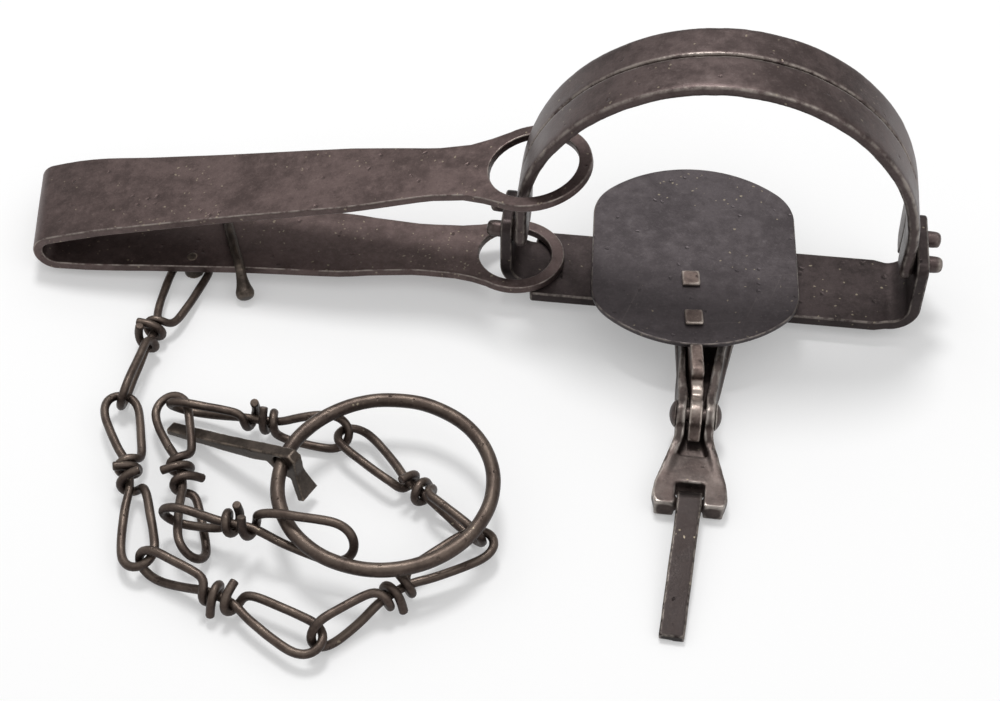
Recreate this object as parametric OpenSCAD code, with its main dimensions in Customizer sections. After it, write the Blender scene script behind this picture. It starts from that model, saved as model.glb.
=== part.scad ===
// Leghold trap with one long leaf spring, a wire-link chain, an anchor ring and an anchor strap.
// Lengths are millimetres. The floor is z = 0, x runs along the base, the dog points to -y.

/* [Base] */
// Thickness of the base strip and its uprights
strip_t = 3.2; // [2.6:0.1:3.8]
// Width of the base strip
base_w = 24; // [23:0.5:30]
// Free distance between the two uprights
jaw_span = 104; // [100:1:108]
// Height of the uprights above the underside of the strip
upright_h = 23; // [22.6:0.2:26]
// Width of the upright that stands in the spring eyes
left_upright_w = 15.8; // [15:0.1:16.2]
// Width of the free upright
right_upright_w = 22.4; // [18:0.2:23]
// Outer radius of the bends
bend_r = 8; // [6:0.5:9]
// Length over which the strip narrows to the upright in the spring eyes
left_shoulder = 0.5; // [0.5:0.5:7]
// Length over which the strip narrows to the free upright
right_shoulder = 3; // [1:0.5:5]
// Corner radius on top of the uprights
upright_round = 3; // [1:0.5:4]

/* [Jaws] */
// Height of the jaw pins above the underside of the strip
pin_h = 19; // [18:0.2:19.6]
// Diameter of the jaw pins
pin_d = 4.7; // [4:0.1:5]
// Distance between the two pins of one upright
pin_gap = 9.4; // [9.2:0.1:9.8]
// How far the pins stand out of the uprights
pin_out = 4; // [2:0.2:6]
// Radial clearance of the pins in their bores
pin_clear = 0.07; // [0.02:0.01:0.1]
// Thickness of the jaw hoop
jaw_t = 3.2; // [2.6:0.1:3.6]
// Width of the jaw hoop
jaw_w = 11; // [10.2:0.1:11.6]
// Height of the hoop centre above the pins
arch_rise = 7.7; // [6:0.1:10]
// Height above the pins where the hoop reaches its full width
flare_h = 33; // [30:1:40]
// Gap between the closed jaws
seam = 0.4; // [0.3:0.1:0.8]
// Gap between a jaw leg and its upright
leg_gap = 0.6; // [0.3:0.1:1]

/* [Spring] */
// Thickness of the spring strip
spring_t = 2.8; // [2.2:0.1:3.2]
// Width of the spring at the fold
spring_w_fold = 28.8; // [26:0.4:32]
// Width of the spring at the necks
spring_w_neck = 18; // [16:0.4:19]
// Diameter of the upper eye
upper_eye_d = 23; // [22.6:0.1:23.4]
// Diameter of the lower eye
lower_eye_d = 19.4; // [19.2:0.1:20.4]
// Width of the metal round the eyes
eye_rim = 3.6; // [3:0.1:4.4]
// Distance of the upper eye from the middle of the base
upper_eye_x = 47.3; // [47:0.1:48]
// Distance of the lower eye from the middle of the base
lower_eye_x = 52; // [51.6:0.1:52.4]
// Distance of the fold's centre from the middle of the base
fold_x = 178; // [160:0.5:200]
// Radius of the fold, at mid thickness
fold_r = 4.6; // [3.8:0.1:5]
// Skew of the fold across the strip, in degrees
fold_skew = 11; // [0:0.5:12]
// Fall of the lower leaf towards the fold, in degrees
lower_fall = 2.1; // [1.8:0.1:2.2]
// Rise of the upper leaf at the fold, in degrees
fold_rise = 20; // [18:0.5:22]
// Rise of the upper leaf at the jaws, in degrees
upper_rise = 11.2; // [10.8:0.1:11.6]
// Radius of the curve between the two rises
bow_r = 120; // [100:5:140]
// Gap between the two spring solids at the fold
fold_gap = 0.5; // [0.4:0.1:0.8]

/* [Trigger] */
// Thickness of the cross-arm
arm_t = 3.2; // [3:0.1:3.6]
// Sideways place of the trigger
arm_x = -1; // [-3:0.5:3]
// Half width of the cross-arm under the base
arm_half_back = 10; // [8.5:0.5:12]
// Half width of the cross-arm at the cheeks, over all
arm_half_neck = 4.8; // [4.6:0.1:5.4]
// Half width of the front plate
arm_half_front = 9.3; // [8:0.1:11]
// Distance of the front edge from the base axis
arm_front = 77; // [76.5:0.5:80]
// Thickness of the cheeks
cheek_t = 2.4; // [2:0.1:2.6]
// Height of the top of the front plate
plate_top = 5.4; // [5.2:0.1:5.8]
// Distance of the pan pivot from the base axis
pivot_y = 51.5; // [50:0.5:53]
// Height of the pan pivot
pivot_z = 9; // [8.6:0.1:9.6]
// Diameter of the pivot rivet
pivot_d = 3.6; // [3:0.1:4]
// Radial clearance of the pivot rivet in the lever
pivot_clear = 0.06; // [0.02:0.01:0.1]
// Radius of the rivet heads
rivet_head_r = 3.8; // [3:0.1:4.2]
// Height of the rivet heads
rivet_head_h = 1.7; // [1.2:0.1:2.2]
// Diameter of the two rivets that hold the cross-arm
arm_rivet_d = 4; // [3:0.1:5]
// Radius of the pan
pan_r = 33; // [29:0.5:33]
// Half distance between the flat sides of the pan
pan_half = 27; // [22:0.5:28]
// Radius of the pan's four corners
pan_corner = 14; // [8:0.5:18]
// Thickness of the pan
pan_t = 1.5; // [1.2:0.1:2]
// Height of the top of the pan
pan_top = 14.8; // [14.4:0.1:15.4]
// Sideways place of the pan's centre
pan_x = -4.3; // [-6:0.1:0]
// Thickness of the pan lever
lever_t = 3.2; // [2.6:0.1:3.4]
// Sideways bend of the lever behind the cheeks, in degrees
lever_bend = 6; // [0:0.5:8]
// Height of the catch nose
nose_z = 16; // [15.6:0.1:17]
// Width of the dog
dog_w = 6; // [5:0.1:6.6]
// Length of the dog from its hinge
dog_len = 37.5; // [34:0.5:40]
// Thickness of the dog
dog_t = 2.2; // [1.8:0.1:2.4]
// Sideways lean of the dog from its hinge, degrees
dog_lean = 3; // [0:0.5:3.5]
// Radius of the bar that the dog turns on
dog_bar_r = 1.45; // [1.2:0.05:1.6]
// Radial clearance of the dog on its bar
dog_clear = 0.08; // [0.02:0.01:0.1]
// Outer radius of the dog's curl
dog_curl_r = 3.2; // [3.1:0.05:3.3]

/* [Chain] */
// Diameter of the chain wire
wire_d = 2.2; // [1.8:0.1:2.3]
// Half width of the link loops, at mid wire
loop_half = 4.3; // [4.1:0.1:4.5]
// How far a loop reaches past the place where it hangs
reach = 2; // [1.9:0.05:2.1]
// Radius of the knot windings, at mid wire
knot_r = 3.1; // [3.05:0.05:3.3]
// Rise of one knot winding
knot_pitch = 2.75; // [2.7:0.05:3]
// Length of the free wire ends
wire_tail = 4; // [2:0.5:5]
// Wire diameter of the anchor ring
ring_d = 3.5; // [3:0.1:3.8]
// Radius of the anchor ring, at mid wire
ring_r = 25.7; // [25:0.1:26.4]
// Height of the anchor ring
ring_z = 12.5; // [12.5:0.1:13]
// Width of the chain clip's bar
clip_w = 3.2; // [2.6:0.1:4]
// Thickness of the chain clip's bar
clip_t = 2.4; // [2:0.1:2.8]
// Width of the chain clip's tail end
clip_tail_w = 5.2; // [4:0.1:6]
// Radius of the chain stud
stud_r = 2.4; // [2:0.1:2.6]
// Length of the anchor strap from its eye
strap_len = 37; // [30:0.5:39]
// Thickness of the anchor strap
strap_t = 2.8; // [2.4:0.1:3]
// Height of the anchor strap at the eye end
strap_h = 4.2; // [3.6:0.1:4.4]
// Radius of the hole in the anchor strap's eye
strap_hole_r = 2.7; // [2.6:0.05:2.9]

/* [Hidden] */
steel = [0.25, 0.22, 0.2];
wire_steel = [0.34, 0.28, 0.24];
pan_steel = [0.31, 0.29, 0.29];
tiny = 0.05;
reach_all = 300;
round_fn = 64;
fine_fn = 96;
small_fn = 32;

base_z = arm_t;
base_top = base_z + strip_t;
bend_x = jaw_span / 2 + strip_t - bend_r;
pin_z = base_z + pin_h;
pin_y = pin_gap / 2;
pin_end = jaw_span / 2 + strip_t + pin_out;
pin_chamfer = 0.5;
jaw_r = jaw_span / 2 - leg_gap;
arch_z = pin_z + arch_rise;
leg_r = pin_y - seam / 2 - 0.1;

pi_deg = 180 / PI;
lower_z = base_top + spring_t / 2;
lower_flat_x = -lower_eye_x - 12;
upper_eye_r = upper_eye_d / 2 + eye_rim;
lower_eye_r = lower_eye_d / 2 + eye_rim;
fold_start = [-fold_x, lower_z - (fold_x + lower_flat_x) * tan(lower_fall)];
fold_c = fold_start + fold_r * [-sin(lower_fall), cos(lower_fall)];
bow_start = fold_c + fold_r * [-sin(fold_rise), cos(fold_rise)];
bow_c = bow_start + bow_r * [sin(fold_rise), -cos(fold_rise)];
bow_end = bow_c + bow_r * [-sin(upper_rise), cos(upper_rise)];
upper_tip_x = -upper_eye_x + upper_eye_r + 1;
upper_tip = [upper_tip_x, bow_end[1] + (upper_tip_x - bow_end[0]) * tan(upper_rise)];
fold_cut = fold_gap / 2 / fold_r * pi_deg;

cheek_back_y = -14;
cheek_back_half = 8.2;
cheek_neck_back = pivot_y - 5;
cheek_neck_front = pivot_y + 5;
cheek_front_y = arm_front - 7;
cheek_front_half = arm_half_front - 0.5;
cheek_boss_r = 3.8;
bar_y = -(arm_front - 1.6);
bar_z = dog_curl_r + 0.2;
rivet_x = 6;
rivet_y = base_w / 2 - 7;
arm_back = base_w / 2 + 1;
notch_half = dog_w / 2 + 0.5;
notch_back = -bar_y - dog_curl_r - 2.1;
pan_bottom = pan_top - pan_t;
tenon_y = [-10, -24];
tenon_len = 4;
tenon_head = [4.8, 5.2, 1.1];
tenon_clear = 0.05;
bend_y = -(pivot_y - 6);
dog_fall = asin((bar_z + dog_curl_r - dog_t - 0.25) / dog_len);

clip_x = -130.4;
clip_yaw = 23;
clip_half = 14.4;
stud_at = [-139, -9];
wire_r = wire_d / 2;
wire_sides = 6;

// Places where the links hang in each other, in order along the chain
p_stud = [-139, -6.6, 1.35];
p_12 = [-145, -62, 5.6];
p_23 = [-128.5, -108, 5.4];
p_34 = [-84, -126, 5.4];
p_45 = [-49, -93.5, 5.4];
p_56 = [-86, -65, 5];
p_67 = [-132, -62, 7];
p_7end = [-116, -105, 5];
p_78 = [-123.5, -97, 8.4];
ring_lift = 0.7;
p_8ring = [-79, -104, ring_z + ring_lift];
ring_turn = 74.2;
ring_hang = 5.12;
ring_c = p_8ring + (ring_r - ring_hang) * [cos(ring_turn), sin(ring_turn), 0] - [0, 0, ring_lift];
knot_1 = [-143.5, -37.6, 4.4];
knot_8 = [-105, -100, ring_z - 1.3];
strap_turn = 172;
strap_dir = 155;

// A steep loop reaches a little way into a flat one, which reaches far round it
steep = 0.4;
flat = reach + 1;
stud_half = 5;
ring_half = 5.2;
halves = [loop_half, loop_half];

// Start, knot and end, rolls of the two loops, reaches of the two loops, half widths of the two loops
links = [
    [[p_stud, knot_1, p_12], [0, 75], [reach, steep], [stud_half, loop_half]],
    [[p_12, (p_12 + p_23) / 2, p_23], [-10, 15], [flat, flat], halves],
    [[p_23, (p_23 + p_34) / 2, p_34], [75, 10], [steep, flat], halves],
    [[p_34, (p_34 + p_45) / 2, p_45], [75, 0], [steep, flat], halves],
    [[p_45, (p_45 + p_56) / 2, p_56], [75, 15], [steep, flat], halves],
    [[p_56, (p_56 + p_67) / 2, p_67], [-50, 65], [steep, steep], halves],
    [[p_67, (p_67 + p_7end) / 2, p_7end], [15, -45], [flat, reach], halves],
    [[p_78, knot_8, p_8ring], [-80, 65], [reach, reach], [loop_half, ring_half]]
];

// Small helpers
function unit(v) = v / norm(v);
function flip(list) = [for (i = [len(list) - 1:-1:0]) list[i]];
function side_of(u) = unit(cross([0, 0, 1], u));
function across(u, roll) = side_of(u) * cos(roll) + cross(u, side_of(u)) * sin(roll);
function above(u, roll) = cross(u, side_of(u)) * cos(roll) - side_of(u) * sin(roll);

// Bars along x and shapes drawn in the y-z plane
module bar_x(x0, x1, y, z, r, fn = round_fn) {
    translate([x0, y, z]) rotate([0, 90, 0]) cylinder(h = x1 - x0, r = r, $fn = fn);
}

module along_x(x0, x1) {
    translate([x0, 0, 0]) rotate([90, 0, 90]) linear_extrude(x1 - x0) children();
}

module along_y(half) {
    rotate([90, 0, 0]) linear_extrude(2 * half, center = true) children();
}

// Base plate
module upright(w) {
    h0 = base_z + bend_r;
    h1 = base_z + upright_h;
    translate([bend_x, 0, base_z + bend_r]) rotate([90, 0, 0]) rotate([0, 0, -90])
        rotate_extrude(angle = 90, $fn = fine_fn) translate([bend_r - strip_t, -w / 2]) square([strip_t, w]);
    along_x(jaw_span / 2, jaw_span / 2 + strip_t) {
        translate([-w / 2, h0]) square([w, h1 - upright_round - h0]);
        translate([-w / 2 + upright_round, h0]) square([w - 2 * upright_round, h1 - h0]);
        for (s = [-1, 1])
            translate([s * (w / 2 - upright_round), h1 - upright_round]) circle(upright_round, $fn = round_fn);
    }
}

module base_plate() {
    left_half = left_upright_w / 2;
    right_half = right_upright_w / 2;
    color(steel) difference() {
        union() {
            translate([0, 0, base_z]) linear_extrude(strip_t) polygon([
                [-bend_x, -left_half], [left_shoulder - bend_x, -base_w / 2],
                [bend_x - right_shoulder, -base_w / 2], [bend_x, -right_half],
                [bend_x, right_half], [bend_x - right_shoulder, base_w / 2],
                [left_shoulder - bend_x, base_w / 2], [-bend_x, left_half]
            ]);
            upright(right_upright_w);
            mirror([1, 0, 0]) upright(left_upright_w);
        }
        for (y = [-pin_y, pin_y]) bar_x(-reach_all / 2, reach_all / 2, y, pin_z, pin_d / 2 + pin_clear);
        for (s = [-1, 1])
            translate([arm_x + s * rivet_x, rivet_y, 0]) cylinder(h = 20, d = arm_rivet_d + tiny, $fn = small_fn);
    }
}

// Cross-arm with cheeks, front plate and the bar for the dog
module cheek_band(s) {
    outer = [
        [cheek_back_half, cheek_back_y], [arm_half_neck, -cheek_neck_back],
        [arm_half_neck, -cheek_neck_front], [cheek_front_half, -cheek_front_y]
    ];
    inner = [for (p = outer) p - [cheek_t, 0]];
    scale([s, 1]) polygon(concat(outer, flip(inner)));
}

module cheek_sides() {
    polygon([
        [cheek_back_y, 0.5], [cheek_back_y, arm_t + 1], [-18, 6], [-32, 10.6], [-cheek_neck_back, 11.6],
        [-pivot_y, pivot_z + cheek_boss_r], [-pivot_y - cheek_boss_r, pivot_z], [-pivot_y - 6.6, 6.6],
        [-pivot_y - 12, 6], [-cheek_front_y, plate_top], [-cheek_front_y, 2.6], [-cheek_neck_front - 6, 0.5]
    ]);
    translate([-pivot_y, pivot_z]) circle(cheek_boss_r, $fn = round_fn);
}

module cross_arm() {
    floor_end = -cheek_neck_front - 8;
    plate_z = plate_top - arm_t;
    color(steel) translate([arm_x, 0, 0]) difference() {
        union() {
            linear_extrude(arm_t) polygon([
                for (s = [1, -1]) each s == 1
                    ? [[arm_half_back, arm_back], [arm_half_back, -arm_back], [arm_half_neck, -cheek_neck_back],
                       [arm_half_neck, -cheek_neck_front], [arm_half_neck + 1.5, floor_end]]
                    : [[-arm_half_neck - 1.5, floor_end], [-arm_half_neck, -cheek_neck_front],
                       [-arm_half_neck, -cheek_neck_back], [-arm_half_back, -arm_back], [-arm_half_back, arm_back]]
            ]);
            for (s = [-1, 1]) intersection() {
                linear_extrude(40) cheek_band(s);
                along_x(-20, 20) cheek_sides();
            }
            translate([0, 0, plate_z]) linear_extrude(arm_t) polygon([
                [-6.2, floor_end + 3], [6.2, floor_end + 3], [cheek_front_half, -cheek_front_y],
                [arm_half_front, -arm_front + 3], [arm_half_front - 0.8, -arm_front + 0.4],
                [arm_half_front - 2, -arm_front], [2 - arm_half_front, -arm_front],
                [0.8 - arm_half_front, -arm_front + 0.4], [-arm_half_front, -arm_front + 3],
                [-cheek_front_half, -cheek_front_y]
            ]);
            along_x(0.9 - arm_half_front, arm_half_front - 0.9) {
                translate([-arm_front, 0.3]) square([2.8, plate_top - 1.6 - 0.3]);
                translate([1.6 - arm_front, plate_top - 1.6]) circle(1.6, $fn = small_fn);
            }
        }
        translate([-notch_half, -arm_front - 5, -1]) cube([2 * notch_half, arm_front + 5 - notch_back, 20]);
        bar_x(-20, 20, -pivot_y, pivot_z, pivot_d / 2 + tiny / 2);
        for (s = [-1, 1])
            translate([s * rivet_x, rivet_y, -1]) cylinder(h = 20, d = arm_rivet_d + tiny, $fn = small_fn);
    }
    color(steel) bar_x(arm_x - notch_half - 1, arm_x + notch_half + 1, bar_y, bar_z, dog_bar_r);
}

module arm_rivets() {
    color(steel) for (s = [-1, 1]) translate([arm_x + s * rivet_x, rivet_y, 0]) {
        translate([0, 0, 0.1]) cylinder(h = base_top, d = arm_rivet_d, $fn = small_fn);
        translate([0, 0, base_top]) cylinder(h = 1.2, d1 = arm_rivet_d + 3, d2 = arm_rivet_d + 1, $fn = small_fn);
    }
}

// Jaws
module jaw() {
    y0 = seam / 2;
    intersection() {
        union() {
            translate([0, y0 + jaw_w, arch_z]) rotate([90, 0, 0]) rotate_extrude(angle = 180, $fn = 128)
                translate([jaw_r - jaw_t, 0]) square([jaw_t, jaw_w]);
            for (s = [0, 1]) mirror([s, 0, 0])
                translate([jaw_r - jaw_t, y0, pin_z - leg_r - 1]) cube([jaw_t, jaw_w, arch_rise + leg_r + 1 + tiny]);
        }
        along_x(-reach_all / 2, reach_all / 2) {
            polygon([
                [y0, pin_z], [y0, pin_z + 80], [y0 + jaw_w, pin_z + 80],
                [y0 + jaw_w, pin_z + flare_h], [pin_y + leg_r, pin_z]
            ]);
            translate([pin_y, pin_z]) circle(leg_r, $fn = round_fn);
        }
    }
    for (s = [0, 1]) mirror([s, 0, 0]) {
        bar_x(jaw_r - jaw_t + 0.2, pin_end - pin_chamfer, pin_y, pin_z, pin_d / 2);
        translate([pin_end - pin_chamfer, pin_y, pin_z]) rotate([0, 90, 0])
            cylinder(h = pin_chamfer, r1 = pin_d / 2, r2 = pin_d / 2 - pin_chamfer, $fn = round_fn);
    }
}

module back_jaw() {
    color(steel) jaw();
}

module front_jaw() {
    color(steel) mirror([0, 1, 0]) jaw();
}

// Spring
function edge(path, off) = [for (p = path) [p[0] - off * sin(p[2]), p[1] + off * cos(p[2])]];
function arc(c, r, a0, a1, n) = [for (i = [0:n]) let (a = a0 + (a1 - a0) * i / n)
    [c[0] + r * cos(a), c[1] + r * sin(a), a - 90]];

module strip(path) {
    skew = [[1, -tan(fold_skew), 0, 0], [0, 1, 0, 0], [0, 0, 1, 0], [0, 0, 0, 1]];
    multmatrix(skew) along_y(20) polygon(concat(edge(path, spring_t / 2), flip(edge(path, -spring_t / 2))));
}

module leaf_plan(eye_x, eye_r, tall) {
    fold = spring_w_fold / 2;
    neck = spring_w_neck / 2;
    half = [
        [-fold_x - 12, fold], [-fold_x + 8, fold], [-fold_x + 32, fold - 1.4], [-fold_x + 54, fold - 2.4],
        [-fold_x + 82, fold - 3.1], [-eye_x - 42, neck + 1.6], [-eye_x - 26, neck], [-eye_x - eye_r * 1.15, neck + 0.4],
        [-eye_x - eye_r * 0.75, eye_r * 0.75], [-eye_x - eye_r * 0.5, eye_r * 0.866], [-eye_x, eye_r * 0.9]
    ];
    linear_extrude(tall) polygon(concat(half, flip([for (p = half) [p[0], -p[1]]])));
    translate([-eye_x, 0, 0]) cylinder(h = tall, r = eye_r, $fn = fine_fn);
}

module lower_leaf() {
    path = concat(
        [[-lower_eye_x + lower_eye_r + 2, lower_z, 180], [lower_flat_x, lower_z, 180]],
        arc(fold_c, fold_r, lower_fall - 90, fold_cut - 180, 12)
    );
    color(steel) difference() {
        intersection() {
            strip(path);
            leaf_plan(lower_eye_x, lower_eye_r, 60);
        }
        translate([-lower_eye_x, 0, -1]) cylinder(h = 60, d = lower_eye_d, $fn = fine_fn);
        translate([stud_at[0], stud_at[1], -1]) cylinder(h = 20, r = stud_r - 0.8 + tiny / 2, $fn = small_fn);
    }
}

module upper_leaf() {
    path = concat(
        arc(fold_c, fold_r, -180 - fold_cut, fold_rise - 270, 12),
        arc(bow_c, bow_r, 90 + fold_rise, 90 + upper_rise, 8),
        [[upper_tip[0], upper_tip[1], upper_rise]]
    );
    color(steel) difference() {
        intersection() {
            strip(path);
            leaf_plan(upper_eye_x, upper_eye_r, 90);
        }
        translate([-upper_eye_x, 0, -1]) cylinder(h = 90, d = upper_eye_d, $fn = fine_fn);
    }
}

// Pan, lever, pivot and dog
module lever_bent() {
    translate([arm_x, bend_y, 0]) rotate([0, 0, lever_bend]) translate([0, -bend_y, 0]) children();
}

module tenon_holes(grow) {
    lever_bent() for (y = tenon_y)
        translate([-lever_t / 2 - grow, y - tenon_len / 2 - grow, 0]) cube([lever_t + 2 * grow, tenon_len + 2 * grow, 40]);
}

module pan_plate() {
    color(pan_steel) difference() {
        translate([pan_x, 0, pan_bottom]) linear_extrude(pan_t)
            offset(r = pan_corner, $fn = round_fn) offset(delta = -pan_corner) intersection() {
                circle(pan_r, $fn = fine_fn);
                square([2 * pan_half, 2 * pan_r + 2], center = true);
            }
        tenon_holes(tenon_clear);
    }
}

module lever_front() {
    polygon([
        [bend_y + 0.4, 5], [bend_y + 0.4, 11.6], [-46.6, 10.8], [-48.6, 11.4], [-pivot_y, pivot_z + 4],
        [-pivot_y - 4, pivot_z], [-pivot_y - 6, pivot_z - 3.4], [-pivot_y - 4, pivot_z - 4.2], [-pivot_y + 4, pivot_z - 4.8]
    ]);
    translate([-pivot_y, pivot_z]) circle(4, $fn = round_fn);
}

module lever_back() {
    polygon([
        [bend_y, 5], [-38, 4.6], [-30, base_top + 0.2], [-6, base_top + 0.2], [-6, pan_bottom],
        [-pan_r + 0.2, pan_bottom], [-pan_r - 0.4, pan_bottom - 0.4], [-pan_r - 0.4, nose_z - 0.6],
        [-pan_r - 1, nose_z], [-42, nose_z], [-43, nose_z - 0.7], [-43.2, nose_z - 1.8], [-42.6, 12.6], [-43.6, 11.8],
        [bend_y, 11.6]
    ]);
}

module pan_lever() {
    color(steel) difference() {
        union() {
            along_x(arm_x - lever_t / 2, arm_x + lever_t / 2) lever_front();
            lever_bent() along_x(-lever_t / 2, lever_t / 2) lever_back();
            intersection() {
                tenon_holes(0);
                translate([-reach_all / 2, -reach_all / 2, pan_bottom - 1]) cube([reach_all, reach_all, pan_t + 1 + tiny]);
            }
            lever_bent() for (y = tenon_y)
                translate([-tenon_head[0] / 2, y - tenon_head[1] / 2, pan_top]) cube(tenon_head);
        }
        bar_x(-20, 20, -pivot_y, pivot_z, pivot_d / 2 + pivot_clear);
    }
}

module pivot_rivet() {
    ball_r = (rivet_head_r * rivet_head_r + rivet_head_h * rivet_head_h) / (2 * rivet_head_h);
    widest = asin(rivet_head_r / ball_r);
    dome = [for (i = [0:6]) let (a = widest * (1 - i / 6)) [ball_r * sin(a), rivet_head_h - ball_r + ball_r * cos(a)]];
    color(steel) {
        bar_x(arm_x - arm_half_neck - 0.4, arm_x + arm_half_neck + 0.4, -pivot_y, pivot_z, pivot_d / 2);
        for (s = [0, 1]) translate([arm_x, -pivot_y, pivot_z]) mirror([s, 0, 0])
            translate([arm_half_neck, 0, 0]) rotate([0, 90, 0])
                rotate_extrude($fn = round_fn) polygon(concat([[0, 0]], dome));
    }
}

module dog() {
    color(steel) translate([arm_x, bar_y, bar_z]) rotate([dog_fall, 0, 0]) difference() {
        union() {
            bar_x(-dog_w / 2, dog_w / 2, 0, 0, dog_curl_r);
            rotate([0, 0, -dog_lean]) translate([-dog_w / 2, -dog_len, dog_curl_r - dog_t])
                cube([dog_w, dog_len, dog_t]);
        }
        bar_x(-dog_w, dog_w, 0, 0, dog_bar_r + dog_clear);
    }
}

// Chain clip and stud on the lower leaf
module chain_clip() {
    mid = lower_z - (-clip_x + lower_flat_x) * tan(lower_fall);
    top = spring_t / 2 + 0.35;
    low = -spring_t / 2 - 0.35;
    out = clip_half + clip_t;
    color(steel) translate([clip_x, 0, mid]) rotate([0, 0, clip_yaw]) {
        along_x(-clip_w / 2, clip_w / 2) difference() {
            translate([-out, low - 1.6]) square([2 * out, top + clip_t - low + 1.6]);
            translate([-clip_half, low]) square([2 * clip_half, top - low]);
        }
        translate([0, -out + 1, low + 0.4]) rotate([-35, 0, 0]) rotate([90, 0, 0]) linear_extrude(2.2) polygon([
            [-clip_w / 2, 0.6], [clip_w / 2, 0.6], [clip_tail_w / 2, -3.6], [-clip_tail_w / 2, -3.6]
        ]);
    }
}

module chain_stud() {
    mid = lower_z - (-stud_at[0] + lower_flat_x) * tan(lower_fall);
    low = mid - spring_t / 2 - 0.15;
    color(steel) translate([stud_at[0], stud_at[1], 0]) {
        translate([0, 0, 0.3]) cylinder(h = low - 0.3, r1 = stud_r + 0.4, r2 = stud_r, $fn = small_fn);
        translate([0, 0, 0.3]) cylinder(h = mid + spring_t / 2 - 0.4, r = stud_r - 0.8, $fn = small_fn);
    }
}

// Wire links: a wound start, two loops with the wire's core between them, a wound end
knot_start = knot_pitch / 2;
turns_a = 1.25;
turns_b = 0.75;

function winding(m, dir, n, up, turns, way) = let (
    steps = round(turns * 7),
    first = 360 * turns * way,
    at = function (t) m + dir * (knot_start + knot_pitch * turns * t)
        + knot_r * (n * cos(first * (1 - t)) + up * sin(first * (1 - t))),
    back = (up * cos(first) - n * sin(first)) * way
) concat([at(0) + back * wire_tail], [for (i = [0:steps]) at(i / steps)]);

function loop(m, tip, n, half, turns, over) = let (
    dir = unit(tip - m), far = norm(tip - m) + over, near = knot_start + knot_pitch * turns
) concat(
    [m + dir * (near + 2.6) + n * (half * 0.9), m + dir * (far - half - 3) + n * half],
    [for (a = [90:-36:-90]) m + dir * (far - half + half * cos(a)) + n * half * sin(a)],
    [m + dir * (far - half - 3) - n * half, m + dir * (near + 4) - n * half * 0.45, m + dir * (near + 0.6)]
);

function smooth(p) = concat(
    [p[0]],
    [for (i = [0:len(p) - 2]) each [p[i] * 0.75 + p[i + 1] * 0.25, p[i] * 0.25 + p[i + 1] * 0.75]],
    [p[len(p) - 1]]
);

function link_path(d) = let (
    m = d[0][1],
    u = unit(d[0][2] - d[0][0]),
    ua = unit(m - d[0][0]),
    ub = unit(d[0][2] - m),
    ra = d[1][0],
    rb = d[1][1],
    first = concat(
        winding(m, -u, across(u, ra), above(u, ra), turns_a, 1),
        loop(m, d[0][0], across(ua, ra), d[3][0], turns_a, d[2][0])
    ),
    last = concat(
        winding(m, u, across(u, rb), above(u, rb), turns_b, -1),
        loop(m, d[0][2], across(ub, rb), d[3][1], turns_b, d[2][1])
    )
) smooth(concat(first, flip(last)));

function heading(p, i) = unit(p[min(i + 1, len(p) - 1)] - p[max(i - 1, 0)]);
function turned(n, t) = unit(n - t * (n * t));
function sides(p) = [for (
    i = 0, n = turned([0.2, 0.3, 1], heading(p, 0));
    i < len(p);
    i = i + 1, n = i < len(p) ? turned(n, heading(p, i)) : n
) n];

module tube(p) {
    n = sides(p);
    last = len(p) - 1;
    points = [for (i = [0:last]) let (t = heading(p, i), b = cross(t, n[i])) for (k = [0:wire_sides - 1])
        p[i] + wire_r * (n[i] * cos(360 * k / wire_sides) + b * sin(360 * k / wire_sides))];
    walls = [for (i = [0:last - 1], k = [0:wire_sides - 1]) let (
        a = i * wire_sides + k, b = i * wire_sides + (k + 1) % wire_sides
    ) each [[a, b + wire_sides, b], [a, a + wire_sides, b + wire_sides]]];
    caps = [[for (k = [0:wire_sides - 1]) k], [for (k = [wire_sides - 1:-1:0]) last * wire_sides + k]];
    polyhedron(points, concat(walls, caps));
}

module link(i) {
    color(wire_steel) tube(link_path(links[i]));
}

// Least gap between parts of one wire that are not neighbours along it
apart = 9;
function self_gap(p) = min([for (i = [0:len(p) - 1 - apart], j = [i + apart:len(p) - 1]) norm(p[i] - p[j])]) - wire_d;
echo(least_self_gap = [for (d = links) self_gap(link_path(d))]);

module link_1() { link(0); }
module link_2() { link(1); }
module link_3() { link(2); }
module link_4() { link(3); }
module link_5() { link(4); }
module link_6() { link(5); }
module link_7() { link(6); }
module link_8() { link(7); }

// Anchor ring and strap
module anchor_ring() {
    color(wire_steel) translate(ring_c) rotate_extrude($fn = fine_fn) translate([ring_r, 0]) circle(ring_d / 2, $fn = small_fn);
}

module anchor_strap() {
    eye_r = strap_hole_r + 1.5;
    tip_z = 1.7 - ring_z;
    color(wire_steel) translate(ring_c + ring_r * [cos(strap_turn), sin(strap_turn), 0]) rotate([0, 0, strap_dir]) difference() {
        union() {
            translate([0, strap_t / 2, 0]) rotate([90, 0, 0]) linear_extrude(strap_t) {
                circle(eye_r, $fn = round_fn);
                polygon([
                    [-3.6, eye_r], [0.5, eye_r], [strap_len - 14, tip_z + 4.8], [strap_len, tip_z + 1],
                    [strap_len, tip_z - 1.4], [8, -0.6 - strap_h], [1, -eye_r], [-3, -1]
                ]);
            }
            rotate([0, -30, 0]) translate([0, 0, -eye_r]) linear_extrude(1.8) polygon([
                [-1, -strap_t / 2], [-4, -strap_t / 2], [-10, -3], [-10, 3], [-4, strap_t / 2], [-1, strap_t / 2]
            ]);
        }
        rotate([90, 0, 0]) cylinder(h = 20, r = strap_hole_r, center = true, $fn = round_fn);
    }
}

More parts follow.
